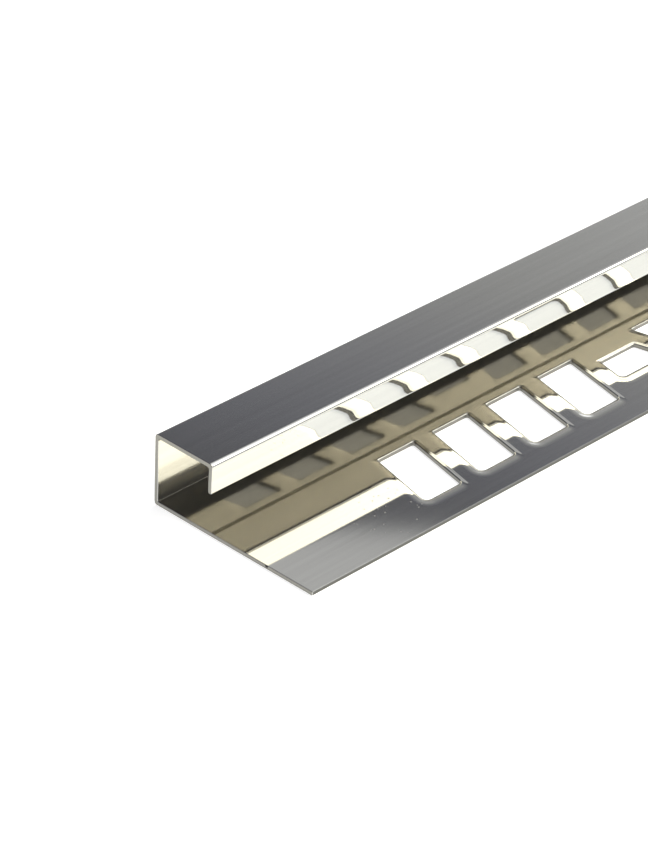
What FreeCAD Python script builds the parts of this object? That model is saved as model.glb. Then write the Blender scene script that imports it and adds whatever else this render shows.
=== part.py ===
import FreeCAD, Part
import math
import os

# Tile edge trim with a box edge, folded from one strip of polished stainless steel sheet.
# X runs along the trim, Y across it with the box edge at +Y, and Z up from the underside.
# The origin is the middle of the underside, and all sizes are in millimetres.

# Stock
length = 1000.0
sheet = 0.6

# Tight folds, a little thinner than the sheet across their corners
fold_outer_radius = 0.5
fold_inner_radius = 0.1

# Section, over its outside faces
height = 10.0
flange_width = 26.7
top_width = 9.8
lip_height = 4.15

# Tall slots, which lean towards the trim's ends at the flange's front
slot_width = 6.45
slot_depth = 10.4
slot_setback = 11.8
slot_lean_angle = 13.4
slot_web = 3.45
tall_slots_each_side = 4

# Short slot in the middle of each group, wider at its front
short_slot_width = 7.9
short_slot_depth = 4.6
short_slot_setback = 14.55
short_slot_web = 3.325

# Corners of every slot, rounder at the flange's front
front_corner_radius = 0.8
back_corner_radius = 0.3

# Groups, spread evenly between the two cut ends at about the usual pitch
end_to_group_centre = 68.7
usual_group_pitch = 125.0

# Worked out from the sizes above
end_x = -length / 2
back_y = flange_width / 2
front_y = -flange_width / 2
lean = math.tan(math.radians(slot_lean_angle))
tall_slot_pitch = slot_width + slot_web
first_tall_offset = short_slot_width / 2 + short_slot_web + slot_width / 2
grouped_length = length - 2 * end_to_group_centre
group_gaps = max(1, round(grouped_length / usual_group_pitch))
group_pitch = grouped_length / group_gaps


def corner_points(before, corner, after, radius):
    """Start, middle and end of the arc that rounds a corner between two straight sides."""
    to_before = (before - corner).normalize()
    to_after = (after - corner).normalize()
    half_angle = to_before.getAngle(to_after) / 2
    setback = radius / math.tan(half_angle)
    inward = (to_before + to_after).normalize()
    centre = corner + inward * (radius / math.sin(half_angle))
    return corner + to_before * setback, centre - inward * radius, corner + to_after * setback


def rounded_face(corners):
    """Flat face whose outline is a list of (point, radius), where radius 0 stays sharp."""
    count = len(corners)
    stops = []
    edges = []
    for index, (corner, radius) in enumerate(corners):
        if radius == 0:
            stops.append((corner, corner))
            continue
        before = corners[index - 1][0]
        after = corners[(index + 1) % count][0]
        start, middle, end = corner_points(before, corner, after, radius)
        stops.append((start, end))
        edges.append(Part.Arc(start, middle, end).toShape())
    for index, (start, end) in enumerate(stops):
        edges.append(Part.makeLine(end, stops[(index + 1) % count][0]))
    return Part.Face(Part.Wire(Part.__sortEdges__(edges)))


def folded_strip():
    """The section's outline drawn round both faces of the sheet, run along the trim."""
    lip_y = back_y - top_width
    outline = [
        (front_y, 0, 0),
        (back_y, 0, fold_outer_radius),
        (back_y, height, fold_outer_radius),
        (lip_y, height, fold_outer_radius),
        (lip_y, height - lip_height, 0),
        (lip_y + sheet, height - lip_height, 0),
        (lip_y + sheet, height - sheet, fold_inner_radius),
        (back_y - sheet, height - sheet, fold_inner_radius),
        (back_y - sheet, sheet, fold_inner_radius),
        (front_y, sheet, 0),
    ]
    corners = [(FreeCAD.Vector(end_x, y, z), radius) for y, z, radius in outline]
    return rounded_face(corners).extrude(FreeCAD.Vector(length, 0, 0))


def slot_punch(centre_x, width, setback, depth, left_lean, right_lean):
    """Punch for one slot, whose sides move by their lean in X for each unit towards the front."""
    slot_back = back_y - setback
    slot_front = slot_back - depth
    left = centre_x - width / 2
    right = centre_x + width / 2
    outline = [
        (left + left_lean * depth / 2, slot_front, front_corner_radius),
        (right + right_lean * depth / 2, slot_front, front_corner_radius),
        (right - right_lean * depth / 2, slot_back, back_corner_radius),
        (left - left_lean * depth / 2, slot_back, back_corner_radius),
    ]
    corners = [(FreeCAD.Vector(x, y, -sheet), radius) for x, y, radius in outline]
    return rounded_face(corners).extrude(FreeCAD.Vector(0, 0, 3 * sheet))


def group_punches(group_x):
    """Punches of one group: a short slot between two mirrored rows of tall slots."""
    punches = [
        slot_punch(group_x, short_slot_width, short_slot_setback, short_slot_depth, -lean, lean)
    ]
    for step in range(tall_slots_each_side):
        offset = first_tall_offset + step * tall_slot_pitch
        for side in (-1, 1):
            punches.append(
                slot_punch(
                    group_x + side * offset,
                    slot_width,
                    slot_setback,
                    slot_depth,
                    side * lean,
                    side * lean,
                )
            )
    return punches


def all_punches():
    """Punches of every group, the first and last equally far from their cut ends."""
    punches = []
    for index in range(group_gaps + 1):
        punches.extend(group_punches(end_x + end_to_group_centre + index * group_pitch))
    return punches


edge_trim = folded_strip().cut(all_punches())

os.makedirs("parts", exist_ok=True)
edge_trim.exportStep("parts/edge_trim.step")
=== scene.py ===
import math

import bmesh
import bpy
from mathutils import Matrix, Vector


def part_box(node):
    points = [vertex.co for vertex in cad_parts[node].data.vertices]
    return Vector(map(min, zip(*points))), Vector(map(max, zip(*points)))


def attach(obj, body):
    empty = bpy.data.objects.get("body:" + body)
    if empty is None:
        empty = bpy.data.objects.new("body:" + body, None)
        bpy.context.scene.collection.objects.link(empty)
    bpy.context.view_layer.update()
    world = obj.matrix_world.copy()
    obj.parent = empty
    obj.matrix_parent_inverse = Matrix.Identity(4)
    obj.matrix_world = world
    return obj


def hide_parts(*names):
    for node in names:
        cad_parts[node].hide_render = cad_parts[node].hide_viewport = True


# Tile edge trim with a box edge, folded from one strip of polished stainless steel sheet.
# X runs along the trim, Y across it with the box edge at +Y, and Z up from the underside.
# Sizes and places are in metres.

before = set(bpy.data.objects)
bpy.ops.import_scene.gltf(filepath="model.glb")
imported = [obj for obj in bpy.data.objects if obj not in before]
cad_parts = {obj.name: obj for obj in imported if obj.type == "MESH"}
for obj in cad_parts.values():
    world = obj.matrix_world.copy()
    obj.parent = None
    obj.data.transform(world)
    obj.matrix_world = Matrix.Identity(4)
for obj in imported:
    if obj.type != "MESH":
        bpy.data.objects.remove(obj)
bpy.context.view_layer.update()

MM = 0.001

# Sheet and section, with the outside sizes read from the frame
LOW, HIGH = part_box("edge_trim")
END_X = LOW[0]
FAR_X = HIGH[0]
LENGTH = FAR_X - END_X
FRONT_Y = LOW[1]
BACK_Y = HIGH[1]
TOP_Z = HIGH[2]
SHEET = 0.6 * MM
LIP_Y = BACK_Y - 9.8 * MM
LIP_BOTTOM_Z = TOP_Z - 4.15 * MM
FOLD_OUTER_RADIUS = 0.5 * MM
TOP_FOLD_INNER_RADIUS = 0.28 * MM
BOTTOM_FOLD_INNER_RADIUS = 0.04 * MM
FOLD_SEGMENTS = 12

# The lip leans in from its fold and turns out again towards its free edge
LIP_LEAN_IN = math.tan(math.radians(1.8))
LIP_TURN_OUT = math.tan(math.radians(0.7))
LIP_TURN_TOP_Z = TOP_Z - 2.1 * MM
LIP_TURN_END_Z = TOP_Z - 3.75 * MM
LIP_STRAIGHT_TOP_Z = TOP_Z - 1.1 * MM
LIP_CORNER_Z = LIP_BOTTOM_Z + 0.3 * MM
LIP_STEPS = 26

# Sheared edges: the lip's outer corner is rolled over and its inner one broken, and the flange's
# front is burnished below and slit crisp above. The cut ends are lightly chamfered all round.
ROLLED_EDGE_RADIUS = 0.22 * MM
BROKEN_EDGE_RADIUS = 0.2 * MM
BURNISHED_EDGE_RADIUS = 0.15 * MM
SLIT_EDGE_RADIUS = 0.05 * MM
ROUND_EDGE_SEGMENTS = 5
PLAIN_EDGE_SEGMENTS = 2
END_CHAMFER = 0.05 * MM

# Slots: tall ones in two mirrored rows round a short one, group after group
SLOT_LEAN = math.tan(math.radians(13.4))
SLOT_WIDTH = 6.45 * MM
SLOT_DEPTH = 10.4 * MM
SLOT_SETBACK = 11.8 * MM
SLOT_WEB = 3.45 * MM
TALL_SLOTS_EACH_SIDE = 4
SHORT_SLOT_WIDTH = 7.9 * MM
SHORT_SLOT_DEPTH = 4.6 * MM
SHORT_SLOT_SETBACK = 14.55 * MM
SHORT_SLOT_WEB = 3.325 * MM
SLOT_FRONT_RADIUS = 0.8 * MM
SLOT_BACK_RADIUS = 0.3 * MM
SLOT_CORNER_SEGMENTS = 6
END_TO_GROUP_CENTRE = 68.7 * MM
USUAL_GROUP_PITCH = 125.0 * MM

# Roll-over round a slot, with a shallow dish outside it: how far each reaches over the flange
# at the slot's left, right, front and back
DISH_REACH = (0.9 * MM, 0.2 * MM, 1.1 * MM, 0.2 * MM)
DISH_DEPTH = 0.035 * MM
DISH_STEPS = 5
TALL_ROLL = (0.45 * MM, 0.35 * MM, 0.50 * MM, 0.08 * MM)
SHORT_ROLL = (0.45 * MM, 0.35 * MM, 0.80 * MM, 0.25 * MM)
ROLL_DEPTH = 0.11 * MM
ROLL_STEPS = 7
ROLL_TURN = math.radians(80)

# How near two heights are to be the same, and the angle between faces up to which an edge is smooth
LEVEL_TOLERANCE = 0.0005 * MM
SMOOTH_ANGLE = math.radians(32)

# How much of a face's normal lies along an axis, by which the faces are told apart
FLAT_NORMAL = 0.99999
SQUARE_NORMAL = 0.999
FORWARD_NORMAL = 0.9
STEEP_NORMAL = 0.6
TURNED_NORMAL = 0.05

# Finishes, numbered in the order of the piece's materials
POLISHED, PUNCHED, SAWN, SLIT, CREASE = range(5)

# Polish: a mirror with a share of haze, warm grey with paler streaks along the trim. The streaks
# are finer on real sheet, and are drawn as coarse as they need to be to show.
POLISH_ROUGHNESS = 0.045
HAZE_ROUGHNESS = 0.5
HAZE_SHARE = 0.08
STEEL_DARK = "#B2AFA8"
STEEL_PALE = "#C0BDB6"
STREAK_LENGTH = 45 * MM
STREAK_PITCH = 0.7 * MM
STREAK_DETAIL = 3

# The flange's hang, and the rolling lines on its front part, which fade out towards its back.
# The lines too are drawn coarser than on real sheet.
HANG_FRONT_Y = -6.5 * MM
HANG_BACK_Y = 3.0 * MM
HANG_DEPTH = 0.134 * MM
ROLLING_LINE_LENGTH = 60 * MM
ROLLING_LINE_PITCH = 0.9 * MM
ROLLING_LINE_DETAIL = 2
ROLLING_LINE_DEPTH = 0.00012 * MM
ROLLING_LINE_BACK_Y = 2.0 * MM
ROLLING_LINE_FADE = 8.0 * MM

# Haze low down inside the box edge: where it begins and where it is full
INNER_HAZE = 0.17
INNER_HAZE_Y = (7.0 * MM, 8.0 * MM)
INNER_HAZE_Z = (6.0 * MM, 4.5 * MM)

# Scuffed patch between the near end and the first slot. A nick begins and is full at these shares
# of the pitch from its middle.
SCUFF_CENTRE = (END_X + 19 * MM, -7.6 * MM, SHEET)
SCUFF_REACH = 6 * MM
SCUFF_PITCH = 0.9 * MM
SCUFF_HAZE = 0.9
NICK_EDGE = (0.2, 0.1)

# Dark speck on the near end, full inside this share of its radius
SPECK_PLACE = (END_X, -5.8 * MM, 0.5 * MM)
SPECK_RADIUS = 0.28 * MM
SPECK_CORE = 0.7
SPECK_COLOUR = "#1C1A18"

# Cut and unpolished faces, in the order of their numbers: name, colour, roughness, and the grain's
# size and depth. The grain is drawn a little coarser than the real marks, so that it shows.
GRAIN_STRENGTH = 0.7
GRAIN_DETAIL = 3
CUT_FINISHES = [
    # Punched wall: grey and half bright, as the punch shears it
    ("punched_stainless_wall", "#78746B", 0.30, 0.25 * MM, 0.015 * MM),
    # Sawn end: pale and matt, with fine deep marks that catch the light
    ("sawn_stainless_end", "#87837A", 0.45, 0.16 * MM, 0.03 * MM),
    # Slit edge of the coil: the darkest, and matt
    ("slit_stainless_edge", "#5E5C56", 0.45, 0.2 * MM, 0.02 * MM),
    # Inside of the top's back fold, which polish doesn't reach: a dull line with hardly any grain
    ("dull_inner_crease", "#8E897C", 0.35, 0.3 * MM, 0.005 * MM),
]

# White table, and its own glow by kind of ray: colour and strength
TABLE_REACH = 6.0
TABLE_COLOUR = "#F2F0E8"
TABLE_LIFTS = [("Is Camera Ray", "#FFFFFF", 0.8), ("Is Glossy Ray", "#F1F7FD", 1.39)]

# The room that the steel mirrors is set by direction. X, Y and Z are the parts of a direction of
# length 1, so Z is the sine of its elevation. The wall fades upwards and brightens to the right.
WALL_LOW_Z = math.sin(math.radians(27.5))
WALL_HIGH_Z = math.sin(math.radians(33.0))
WALL_LOW_LEVEL = 0.58
WALL_HIGH_LEVEL = 0.10
WALL_RIGHT_GAIN = 0.6
CEILING_EDGE = ("Z", math.sin(math.radians(32.95)), math.sin(math.radians(33.25)))
SOFTBOX_EDGES = [("Y", -0.20, -0.35), ("Z", 0.37, 0.43)]

# Areas of the room, each laid over those before it: its level of light, and each of its edges as
# a part of the direction, where the area begins and where it is full
ROOM_AREAS = [
    # Dim but for the side towards the far end
    (0.16, [("X", 0.45, 0.30)]),
    # Paler low down all round
    (0.4, [("Z", 0.44, 0.30)]),
    # Window beyond the far end, low down and behind the trim
    (2.5, [("X", 0.655, 0.69), ("Y", 0.1, 0.2), ("Z", 0.452, 0.432)]),
    # Brighter window beyond the far end, in front of the trim
    (3.5, [("X", 0.69, 0.73), ("Y", 0.0, -0.1)]),
    # Pale ceiling towards the far end
    (0.86, [CEILING_EDGE, ("X", 0.35, 0.45)]),
    # Brighter part of that ceiling, high up
    (2.6, [("Z", 0.68, 0.86), ("X", 0.48, 0.60)]),
    # Softbox in front of the trim
    (6.2, [*SOFTBOX_EDGES, ("X", 0.25, 0.40)]),
    # Brighter part of the softbox, towards the far end
    (10.4, [*SOFTBOX_EDGES, ("X", 0.60, 0.72)]),
]

# Colours of the room's light, and the levels over which one passes into the next
DIM_ROOM_COLOUR = "#E4E9FF"
LIT_ROOM_COLOUR = "#F5F9FF"
SOFTBOX_COLOUR = "#F5F6EC"
DIM_TO_LIT = (0.25, 0.5)
LIT_TO_SOFTBOX = (2.7, 4.0)

# Mirror bounces, enough for the light that runs round inside the box edge
BOUNCES = 24

# Camera, fitted to the trim's edges in the photograph
PHOTO_WIDTH = 648
PHOTO_HEIGHT = 864
FOCAL_PIXELS = 3526.26
CAMERA_YAW = math.radians(43.070)
CAMERA_PITCH = math.radians(31.571)
CAMERA_ROLL = math.radians(2.555)
NEAR_CORNER_PIXEL = (154.081, 503.740)
NEAR_CORNER_DISTANCE = 423.43 * MM
SENSOR = 36.0
CLIP_START = 1 * MM
CLIP_END = 100.0

# Sockets of a colour Mix node, whose names it shares with its sockets for other values
MIX_A = 6
MIX_B = 7
MIX_RESULT = 2


def linear(hex_colour):
    """Linear RGBA of an sRGB hex colour."""
    parts = [int(hex_colour[i : i + 2], 16) / 255 for i in (1, 3, 5)]
    return [p / 12.92 if p <= 0.04045 else ((p + 0.055) / 1.055) ** 2.4 for p in parts] + [1.0]


def node(tree, kind, settings=None, inputs=None, links=None):
    """Adds a node, sets its properties and sockets, and links sockets to (node, output) pairs."""
    made = tree.nodes.new(kind)
    for name, value in (settings or {}).items():
        setattr(made, name, value)
    for name, value in (inputs or {}).items():
        made.inputs[name].default_value = value
    for name, (source, output) in (links or {}).items():
        tree.links.new(source.outputs[output], made.inputs[name])
    return made


def new_material(name):
    """A material with an empty node tree."""
    material = bpy.data.materials.new(name)
    material.use_nodes = True
    material.node_tree.nodes.clear()
    return material, material.node_tree


def nearness(tree, place, centre, begins, full):
    """0 beyond one distance from a point of the trim, rising to 1 within a shorter one."""
    away = node(
        tree,
        "ShaderNodeVectorMath",
        settings={"operation": "DISTANCE"},
        inputs={1: centre},
        links={0: (place, "Object")},
    )
    near = node(
        tree,
        "ShaderNodeMapRange",
        inputs={"From Min": begins, "From Max": full},
        links={"Value": (away, "Value")},
    )
    return near, "Result"


def lengthwise_noise(tree, place, length, pitch, detail):
    """Noise that is drawn out along the trim."""
    stretched = node(
        tree,
        "ShaderNodeMapping",
        inputs={"Scale": (1 / length, 1 / pitch, 1 / pitch)},
        links={"Vector": (place, "Object")},
    )
    noise = node(
        tree,
        "ShaderNodeTexNoise",
        inputs={"Scale": 1.0, "Detail": detail},
        links={"Vector": (stretched, "Vector")},
    )
    return noise, "Fac"


def haze_share(tree, place, axes):
    """How hazy the polish is: a little all over, more inside the box edge and at the scuff's nicks."""
    nicks = node(
        tree,
        "ShaderNodeTexVoronoi",
        inputs={"Scale": 1 / SCUFF_PITCH},
        links={"Vector": (place, "Object")},
    )
    nicked = node(
        tree,
        "ShaderNodeMapRange",
        inputs={"From Min": NICK_EDGE[0], "From Max": NICK_EDGE[1]},
        links={"Value": (nicks, "Distance")},
    )
    in_patch = nearness(tree, place, SCUFF_CENTRE, SCUFF_REACH, SCUFF_REACH / 2)
    scuffed = node(
        tree,
        "ShaderNodeMath",
        settings={"operation": "MULTIPLY"},
        links={0: (nicked, "Result"), 1: in_patch},
    )
    worn = node(
        tree,
        "ShaderNodeMath",
        settings={"operation": "MULTIPLY_ADD"},
        inputs={1: SCUFF_HAZE, 2: HAZE_SHARE},
        links={0: (scuffed, "Value")},
    )
    behind = node(
        tree,
        "ShaderNodeMapRange",
        inputs={"From Min": INNER_HAZE_Y[0], "From Max": INNER_HAZE_Y[1]},
        links={"Value": (axes, "Y")},
    )
    below = node(
        tree,
        "ShaderNodeMapRange",
        inputs={"From Min": INNER_HAZE_Z[0], "From Max": INNER_HAZE_Z[1]},
        links={"Value": (axes, "Z")},
    )
    inside = node(
        tree,
        "ShaderNodeMath",
        settings={"operation": "MULTIPLY"},
        links={0: (behind, "Result"), 1: (below, "Result")},
    )
    haze = node(
        tree,
        "ShaderNodeMath",
        settings={"operation": "MULTIPLY_ADD"},
        inputs={1: INNER_HAZE},
        links={0: (inside, "Value"), 2: (worn, "Value")},
    )
    return haze, "Value"


def mirror_polished_stainless():
    """Polished stainless steel: a slightly warm, slightly hazy mirror with streaks along the trim.

    The punched flange hangs a little from behind the slots to near their front ends, which bends
    what it reflects, and the rolling lines break up the edges of those reflections.
    """
    material, tree = new_material("mirror_polished_stainless")
    place = node(tree, "ShaderNodeTexCoord")
    axes = node(tree, "ShaderNodeSeparateXYZ", links={"Vector": (place, "Object")})
    hang = node(
        tree,
        "ShaderNodeMapRange",
        settings={"interpolation_type": "SMOOTHSTEP"},
        inputs={"From Min": HANG_FRONT_Y, "From Max": HANG_BACK_Y},
        links={"Value": (axes, "Y")},
    )
    hung = node(
        tree,
        "ShaderNodeBump",
        settings={"invert": True},
        inputs={"Strength": 1.0, "Distance": HANG_DEPTH},
        links={"Height": (hang, "Result")},
    )
    rolling = lengthwise_noise(
        tree, place, ROLLING_LINE_LENGTH, ROLLING_LINE_PITCH, ROLLING_LINE_DETAIL
    )
    on_front_part = node(
        tree,
        "ShaderNodeMapRange",
        inputs={"From Min": ROLLING_LINE_BACK_Y, "From Max": ROLLING_LINE_BACK_Y - ROLLING_LINE_FADE},
        links={"Value": (axes, "Y")},
    )
    flange_lines = node(
        tree,
        "ShaderNodeMath",
        settings={"operation": "MULTIPLY"},
        links={0: rolling, 1: (on_front_part, "Result")},
    )
    lined = node(
        tree,
        "ShaderNodeBump",
        inputs={"Strength": 1.0, "Distance": ROLLING_LINE_DEPTH},
        links={"Height": (flange_lines, "Value"), "Normal": (hung, "Normal")},
    )
    colour = node(
        tree,
        "ShaderNodeMix",
        settings={"data_type": "RGBA"},
        inputs={MIX_A: linear(STEEL_DARK), MIX_B: linear(STEEL_PALE)},
        links={"Factor": lengthwise_noise(tree, place, STREAK_LENGTH, STREAK_PITCH, STREAK_DETAIL)},
    )
    mirror, haze = [
        node(
            tree,
            "ShaderNodeBsdfPrincipled",
            inputs={"Metallic": 1.0, "Roughness": roughness},
            links={"Base Color": (colour, MIX_RESULT), "Normal": (lined, "Normal")},
        )
        for roughness in (POLISH_ROUGHNESS, HAZE_ROUGHNESS)
    ]
    polish = node(
        tree,
        "ShaderNodeMixShader",
        links={"Fac": haze_share(tree, place, axes), 1: (mirror, "BSDF"), 2: (haze, "BSDF")},
    )
    node(tree, "ShaderNodeOutputMaterial", links={"Surface": (polish, "Shader")})
    return material


def cut_stainless(name, colour, roughness, grain, grain_depth):
    """Bare cut steel: matt, with a grain that catches the light, and the speck on the near end."""
    material, tree = new_material(name)
    place = node(tree, "ShaderNodeTexCoord")
    marks = node(
        tree,
        "ShaderNodeTexNoise",
        inputs={"Scale": 1 / grain, "Detail": GRAIN_DETAIL},
        links={"Vector": (place, "Object")},
    )
    bump = node(
        tree,
        "ShaderNodeBump",
        inputs={"Strength": GRAIN_STRENGTH, "Distance": grain_depth},
        links={"Height": (marks, "Fac")},
    )
    speckled = node(
        tree,
        "ShaderNodeMix",
        settings={"data_type": "RGBA"},
        inputs={MIX_A: linear(colour), MIX_B: linear(SPECK_COLOUR)},
        links={"Factor": nearness(tree, place, SPECK_PLACE, SPECK_RADIUS, SPECK_RADIUS * SPECK_CORE)},
    )
    steel = node(
        tree,
        "ShaderNodeBsdfPrincipled",
        inputs={"Metallic": 1.0, "Roughness": roughness},
        links={"Base Color": (speckled, MIX_RESULT), "Normal": (bump, "Normal")},
    )
    node(tree, "ShaderNodeOutputMaterial", links={"Surface": (steel, "BSDF")})
    return material


def rounded_polygon(bm, points):
    """A flat face with each corner rounded: points are (position, radius, segments)."""
    verts = [bm.verts.new(position) for position, _, _ in points]
    bm.faces.new(verts)
    count = len(points)
    offsets = []
    for index, (position, radius, _) in enumerate(points):
        before = points[index - 1][0] - position
        after = points[(index + 1) % count][0] - position
        offsets.append(radius / math.tan(before.angle(after) / 2))
    for vert, offset, (_, radius, segments) in zip(verts, offsets, points):
        if radius > 0:
            bmesh.ops.bevel(
                bm,
                geom=[vert],
                offset=offset,
                offset_type="OFFSET",
                segments=segments,
                profile=0.5,
                affect="VERTICES",
                material=-1,
            )


def lip_line():
    """The lip's outer face from its fold down to its free edge, as (y, z) of points down it."""
    y = LIP_Y + LIP_LEAN_IN * (TOP_Z - LIP_STRAIGHT_TOP_Z)
    z = LIP_STRAIGHT_TOP_Z
    step = (LIP_STRAIGHT_TOP_Z - LIP_CORNER_Z) / LIP_STEPS
    line = [(y, z)]
    for _ in range(LIP_STEPS):
        turned = (LIP_TURN_TOP_Z - (z - step / 2)) / (LIP_TURN_TOP_Z - LIP_TURN_END_Z)
        turned = min(max(turned, 0), 1)
        turned = turned * turned * (3 - 2 * turned)
        y += step * (LIP_LEAN_IN - turned * (LIP_LEAN_IN + LIP_TURN_OUT))
        z -= step
        line.append((y, z))
    return line


def folded_sheet(bm):
    """The section round both faces of the sheet, run from cut end to cut end."""
    outer = (FOLD_OUTER_RADIUS, FOLD_SEGMENTS)
    top_inner = (TOP_FOLD_INNER_RADIUS, FOLD_SEGMENTS // 2)
    bottom_inner = (BOTTOM_FOLD_INNER_RADIUS, FOLD_SEGMENTS // 2)
    rolled = (ROLLED_EDGE_RADIUS, ROUND_EDGE_SEGMENTS)
    broken = (BROKEN_EDGE_RADIUS, PLAIN_EDGE_SEGMENTS)
    burnished = (BURNISHED_EDGE_RADIUS, ROUND_EDGE_SEGMENTS)
    slit = (SLIT_EDGE_RADIUS, PLAIN_EDGE_SEGMENTS)
    sharp = (0, 1)
    lip = lip_line()
    edge_y = lip[-1][0] - LIP_TURN_OUT * (LIP_CORNER_Z - LIP_BOTTOM_Z)
    outline = [
        (FRONT_Y, 0, burnished),
        (BACK_Y, 0, outer),
        (BACK_Y, TOP_Z, outer),
        (LIP_Y, TOP_Z, outer),
        *[(y, z, sharp) for y, z in lip],
        (edge_y, LIP_BOTTOM_Z, rolled),
        (edge_y + SHEET, LIP_BOTTOM_Z, broken),
        *[(y + SHEET, z, sharp) for y, z in reversed(lip)],
        (LIP_Y + SHEET, TOP_Z - SHEET, top_inner),
        (BACK_Y - SHEET, TOP_Z - SHEET, top_inner),
        (BACK_Y - SHEET, SHEET, bottom_inner),
        (FRONT_Y, SHEET, slit),
    ]
    rounded_polygon(bm, [(Vector((END_X, y, z)), *edge) for y, z, edge in outline])
    bm.faces.ensure_lookup_table()
    run = bmesh.ops.extrude_face_region(bm, geom=[bm.faces[0]])
    moved = [part for part in run["geom"] if isinstance(part, bmesh.types.BMVert)]
    bmesh.ops.translate(bm, verts=moved, vec=(LENGTH, 0, 0))
    bmesh.ops.recalc_face_normals(bm, faces=bm.faces[:])


def chamfer_ends(bm):
    """Breaks the edges round both cut ends."""
    ends = [face for face in bm.faces if abs(face.normal.x) > SQUARE_NORMAL]
    for face in ends:
        inwards = -END_CHAMFER if face.normal.x > 0 else END_CHAMFER
        inset = bmesh.ops.inset_region(
            bm, faces=[face], thickness=END_CHAMFER, use_boundary=True, use_even_offset=True
        )
        kept = set(face.verts)
        rim = {vert for band in inset["faces"] for vert in band.verts} - kept
        bmesh.ops.translate(bm, verts=list(rim), vec=(inwards, 0, 0))


def open_flange(bm):
    """Takes out the flange's flat top and bottom faces, so that they are filled round the slots."""
    edge_area = LENGTH * SHEET
    flats = []
    for face in bm.faces:
        heights = [vert.co.z for vert in face.verts]
        level = max(heights) - min(heights) < LEVEL_TOLERANCE
        low = max(heights) < SHEET + LEVEL_TOLERANCE
        wide = face.calc_area() > 3 * edge_area
        if level and low and wide:
            flats.append(face)
    bmesh.ops.delete(bm, geom=flats, context="FACES_ONLY")


def slot_ring(bm, slot, share, dish, height):
    """One closed line round a slot, at a share of its roll-over and of its dish: its edges."""
    width, depth, left_lean, right_lean, roll = slot
    left_out, right_out, front_out, back_out = (
        roll_reach * share + dish_reach * dish for roll_reach, dish_reach in zip(roll, DISH_REACH)
    )
    slope = math.sqrt(1 + SLOT_LEAN**2)
    left = -width / 2 - left_out * slope
    right = width / 2 + right_out * slope
    front_y = -depth / 2 - front_out
    back_y = depth / 2 + back_out
    corners = [
        (left - left_lean * front_y, front_y, SLOT_FRONT_RADIUS + min(left_out, front_out)),
        (right - right_lean * front_y, front_y, SLOT_FRONT_RADIUS + min(right_out, front_out)),
        (right - right_lean * back_y, back_y, SLOT_BACK_RADIUS + min(right_out, back_out)),
        (left - left_lean * back_y, back_y, SLOT_BACK_RADIUS + min(left_out, back_out)),
    ]
    known = set(bm.faces)
    rounded_polygon(
        bm, [(Vector((x, y, height)), radius, SLOT_CORNER_SEGMENTS) for x, y, radius in corners]
    )
    face = next(f for f in bm.faces if f not in known)
    edges = face.edges[:]
    bmesh.ops.delete(bm, geom=[face], context="FACES_ONLY")
    return edges


def punched_slot(slot):
    """One slot about its own middle, as a mesh: its dish, the roll-over inside that and its wall."""
    bm = bmesh.new()
    rings = []
    for step in range(DISH_STEPS):
        sunk = step / DISH_STEPS
        rings.append(slot_ring(bm, slot, 1, 1 - sunk, SHEET - DISH_DEPTH * sunk**2))
    rolled_from = SHEET - DISH_DEPTH
    for step in range(ROLL_STEPS + 1):
        turn = ROLL_TURN * step / ROLL_STEPS
        share = 1 - math.sin(turn) / math.sin(ROLL_TURN)
        height = rolled_from - ROLL_DEPTH * (1 - math.cos(turn))
        rings.append(slot_ring(bm, slot, share, 0, height))
    rings.append(slot_ring(bm, slot, 0, 0, 0))
    for upper, lower in zip(rings, rings[1:]):
        bmesh.ops.bridge_loops(bm, edges=upper + lower)
    mesh = bpy.data.meshes.new("slot")
    bm.to_mesh(mesh)
    bm.free()
    return mesh


def slot_places():
    """Every slot and the place of its middle. A slot is its width, depth, two leans and roll-over."""
    tall_pitch = SLOT_WIDTH + SLOT_WEB
    first_offset = SHORT_SLOT_WIDTH / 2 + SHORT_SLOT_WEB + SLOT_WIDTH / 2
    grouped = LENGTH - 2 * END_TO_GROUP_CENTRE
    gaps = max(1, round(grouped / USUAL_GROUP_PITCH))
    tall_y = BACK_Y - SLOT_SETBACK - SLOT_DEPTH / 2
    short_y = BACK_Y - SHORT_SLOT_SETBACK - SHORT_SLOT_DEPTH / 2
    short = (SHORT_SLOT_WIDTH, SHORT_SLOT_DEPTH, -SLOT_LEAN, SLOT_LEAN, SHORT_ROLL)
    for group in range(gaps + 1):
        group_x = END_X + END_TO_GROUP_CENTRE + group * grouped / gaps
        yield short, (group_x, short_y, 0)
        for step in range(TALL_SLOTS_EACH_SIDE):
            for side in (-1, 1):
                lean = side * SLOT_LEAN
                tall = (SLOT_WIDTH, SLOT_DEPTH, lean, lean, TALL_ROLL)
                yield tall, (group_x + side * (first_offset + step * tall_pitch), tall_y, 0)


def punch_slots(bm):
    """Sets a copy of each kind of slot at all its places."""
    meshes = {}
    for slot, place in slot_places():
        if slot not in meshes:
            meshes[slot] = punched_slot(slot)
        before = len(bm.verts)
        bm.from_mesh(meshes[slot])
        bm.verts.ensure_lookup_table()
        bmesh.ops.translate(bm, verts=bm.verts[before:], vec=place)
    for mesh in meshes.values():
        bpy.data.meshes.remove(mesh)


def level_with(edge, height):
    """Whether an edge lies at a height."""
    return all(abs(vert.co.z - height) < LEVEL_TOLERANCE for vert in edge.verts)


def fill_flange(bm, height):
    """Fills the flat of the flange at a height, round the slots."""
    edges = [edge for edge in bm.edges if edge.is_boundary and level_with(edge, height)]
    bmesh.ops.triangle_fill(bm, use_beauty=True, use_dissolve=False, edges=edges)


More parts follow.
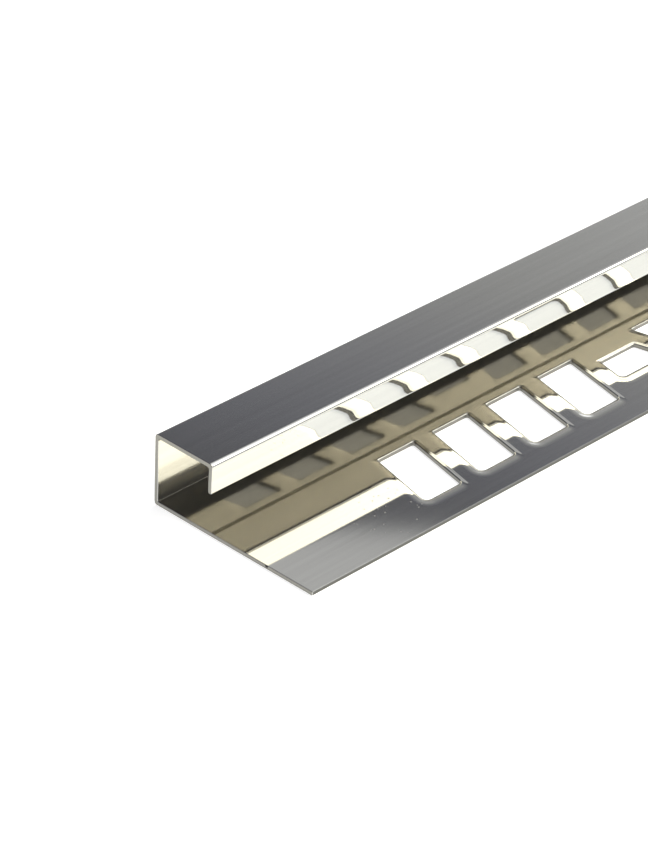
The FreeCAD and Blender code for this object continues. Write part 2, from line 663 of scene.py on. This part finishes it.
def finish_of(face):
    """The number of a face's finish, by where it lies and which way it faces."""
    middle = face.calc_center_median()
    to_end = min(middle.x - END_X, FAR_X - middle.x)
    if abs(face.normal.x) > SQUARE_NORMAL and to_end < END_CHAMFER / 2:
        return SAWN
    if face.normal.y < -FORWARD_NORMAL and middle.y < FRONT_Y + BURNISHED_EDGE_RADIUS:
        return SLIT
    in_back_fold = middle.y > BACK_Y - SHEET - TOP_FOLD_INNER_RADIUS and middle.z > TOP_Z / 2
    if in_back_fold and face.normal.y < -TURNED_NORMAL and face.normal.z < -TURNED_NORMAL:
        return CREASE
    in_slots = FRONT_Y + SHEET < middle.y < LIP_Y - SHEET and middle.z < SHEET
    return PUNCHED if in_slots and abs(face.normal.z) < STEEP_NORMAL else POLISHED


def round_a_dish(edge):
    """Whether an edge parts the flange's flat top from the dish round a slot."""
    flat = [face.normal.z > FLAT_NORMAL for face in edge.link_faces]
    return level_with(edge, SHEET) and any(flat) and not all(flat)


def trim_piece():
    """The whole trim, punched and folded, with its polished faces and its cut edges."""
    bm = bmesh.new()
    folded_sheet(bm)
    chamfer_ends(bm)
    open_flange(bm)
    punch_slots(bm)
    fill_flange(bm, SHEET)
    fill_flange(bm, 0)
    bmesh.ops.recalc_face_normals(bm, faces=bm.faces[:])
    for edge in bm.edges:
        gentle = edge.is_manifold and edge.calc_face_angle(0) < SMOOTH_ANGLE
        edge.smooth = gentle and not round_a_dish(edge)
    for face in bm.faces:
        face.smooth = True
        face.material_index = finish_of(face)
    mesh = bpy.data.meshes.new("punched_folded_sheet")
    bm.to_mesh(mesh)
    bm.free()
    piece = bpy.data.objects.new("punched_folded_sheet", mesh)
    bpy.context.scene.collection.objects.link(piece)
    mesh.materials.append(mirror_polished_stainless())
    for finish in CUT_FINISHES:
        mesh.materials.append(cut_stainless(*finish))
    flat_normals = piece.modifiers.new("flat_normals", "WEIGHTED_NORMAL")
    flat_normals.keep_sharp = True
    return piece


def place_camera():
    """The photograph's view: yaw, pitch and roll, at the fitted distance of the near corner."""
    ahead = Vector(
        (
            math.cos(CAMERA_PITCH) * math.cos(CAMERA_YAW),
            math.cos(CAMERA_PITCH) * math.sin(CAMERA_YAW),
            -math.sin(CAMERA_PITCH),
        )
    )
    level_right = Vector((math.sin(CAMERA_YAW), -math.cos(CAMERA_YAW), 0))
    level_up = level_right.cross(ahead)
    right = math.cos(CAMERA_ROLL) * level_right + math.sin(CAMERA_ROLL) * level_up
    up = math.cos(CAMERA_ROLL) * level_up - math.sin(CAMERA_ROLL) * level_right
    across = (NEAR_CORNER_PIXEL[0] - PHOTO_WIDTH / 2) / FOCAL_PIXELS
    above = (PHOTO_HEIGHT / 2 - NEAR_CORNER_PIXEL[1]) / FOCAL_PIXELS
    near_corner = Vector((END_X, BACK_Y, 0))
    place = near_corner - NEAR_CORNER_DISTANCE * (ahead + across * right + above * up)
    data = bpy.data.cameras.new("photo_view")
    data.sensor_width = SENSOR
    data.lens = FOCAL_PIXELS * SENSOR / PHOTO_HEIGHT
    data.clip_start = CLIP_START
    data.clip_end = CLIP_END
    camera = bpy.data.objects.new("photo_view", data)
    turn = Matrix((right, up, -ahead)).transposed()
    camera.matrix_world = Matrix.Translation(place) @ turn.to_4x4()
    bpy.context.scene.collection.objects.link(camera)
    bpy.context.scene.camera = camera


def pale_table():
    """A white table: white to the camera, brighter in reflections, with the trim's soft shadow."""
    bm = bmesh.new()
    bmesh.ops.create_grid(bm, x_segments=1, y_segments=1, size=TABLE_REACH)
    mesh = bpy.data.meshes.new("floor")
    bm.to_mesh(mesh)
    bm.free()
    floor = bpy.data.objects.new("floor", mesh)
    bpy.context.scene.collection.objects.link(floor)
    material, tree = new_material("white_table")
    ray = node(tree, "ShaderNodeLightPath")
    matt = node(tree, "ShaderNodeBsdfDiffuse", inputs={"Color": linear(TABLE_COLOUR)})
    surface = (matt, "BSDF")
    for ray_kind, colour, strength in TABLE_LIFTS:
        lift = node(
            tree,
            "ShaderNodeMath",
            settings={"operation": "MULTIPLY"},
            inputs={1: strength},
            links={0: (ray, ray_kind)},
        )
        glow = node(
            tree,
            "ShaderNodeEmission",
            inputs={"Color": linear(colour)},
            links={"Strength": (lift, "Value")},
        )
        both = node(tree, "ShaderNodeAddShader", links={0: surface, 1: (glow, "Emission")})
        surface = (both, "Shader")
    node(tree, "ShaderNodeOutputMaterial", links={"Surface": surface})
    mesh.materials.append(material)


def lit_area(tree, axes, under, level, edges):
    """Lays one area of the room over what is under it, where all its edges let it show."""
    mask = None
    for axis, begins, full in edges:
        edge = node(
            tree,
            "ShaderNodeMapRange",
            settings={"interpolation_type": "SMOOTHSTEP"},
            inputs={"From Min": begins, "From Max": full},
            links={"Value": (axes, axis)},
        )
        if mask is None:
            mask = (edge, "Result")
            continue
        both = node(
            tree,
            "ShaderNodeMath",
            settings={"operation": "MULTIPLY"},
            links={0: mask, 1: (edge, "Result")},
        )
        mask = (both, "Value")
    area = node(
        tree,
        "ShaderNodeMix",
        settings={"data_type": "FLOAT"},
        inputs={"B": level},
        links={"Factor": mask, "A": under},
    )
    return area, "Result"


def room_level(tree, axes):
    """How much light the steel sees in each direction above the table."""
    wall = node(
        tree,
        "ShaderNodeMapRange",
        inputs={
            "From Min": WALL_LOW_Z,
            "From Max": WALL_HIGH_Z,
            "To Min": WALL_LOW_LEVEL,
            "To Max": WALL_HIGH_LEVEL,
        },
        links={"Value": (axes, "Z")},
    )
    rightwards = node(
        tree,
        "ShaderNodeMath",
        settings={"operation": "SUBTRACT"},
        links={0: (axes, "X"), 1: (axes, "Y")},
    )
    wall_right = node(
        tree,
        "ShaderNodeMath",
        settings={"operation": "MULTIPLY_ADD"},
        inputs={1: WALL_RIGHT_GAIN},
        links={0: (rightwards, "Value"), 2: (wall, "Result")},
    )
    level = (wall_right, "Value")
    for area_level, edges in ROOM_AREAS:
        level = lit_area(tree, axes, level, area_level, edges)
    return level


def studio_world():
    """A white room to the camera; to the steel, a grey wall, a pale ceiling, windows and a softbox."""
    world = bpy.data.worlds.new("studio")
    world.use_nodes = True
    bpy.context.scene.world = world
    tree = world.node_tree
    tree.nodes.clear()
    place = node(tree, "ShaderNodeTexCoord")
    axes = node(tree, "ShaderNodeSeparateXYZ", links={"Vector": (place, "Generated")})
    level = room_level(tree, axes)
    lit = node(
        tree,
        "ShaderNodeMapRange",
        inputs={"From Min": DIM_TO_LIT[0], "From Max": DIM_TO_LIT[1]},
        links={"Value": level},
    )
    room_tint = node(
        tree,
        "ShaderNodeMix",
        settings={"data_type": "RGBA"},
        inputs={MIX_A: linear(DIM_ROOM_COLOUR), MIX_B: linear(LIT_ROOM_COLOUR)},
        links={"Factor": (lit, "Result")},
    )
    softbox = node(
        tree,
        "ShaderNodeMapRange",
        inputs={"From Min": LIT_TO_SOFTBOX[0], "From Max": LIT_TO_SOFTBOX[1]},
        links={"Value": level},
    )
    tint = node(
        tree,
        "ShaderNodeMix",
        settings={"data_type": "RGBA"},
        inputs={MIX_B: linear(SOFTBOX_COLOUR)},
        links={"Factor": (softbox, "Result"), MIX_A: (room_tint, MIX_RESULT)},
    )
    room = node(
        tree,
        "ShaderNodeBackground",
        links={"Color": (tint, MIX_RESULT), "Strength": level},
    )
    white = node(tree, "ShaderNodeBackground", inputs={"Color": linear("#FFFFFF"), "Strength": 1.0})
    ray = node(tree, "ShaderNodeLightPath")
    seen = node(
        tree,
        "ShaderNodeMixShader",
        links={"Fac": (ray, "Is Camera Ray"), 1: (room, "Background"), 2: (white, "Background")},
    )
    node(tree, "ShaderNodeOutputWorld", links={"Surface": (seen, "Shader")})


def view_settings():
    """Plain colour, and enough bounces for the mirrors."""
    scene = bpy.context.scene
    scene.view_settings.view_transform = "Standard"
    scene.cycles.max_bounces = BOUNCES
    scene.cycles.glossy_bounces = BOUNCES


view_settings()
place_camera()
studio_world()
pale_table()

sheet_piece = trim_piece()
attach(sheet_piece, "root")
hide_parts("edge_trim")
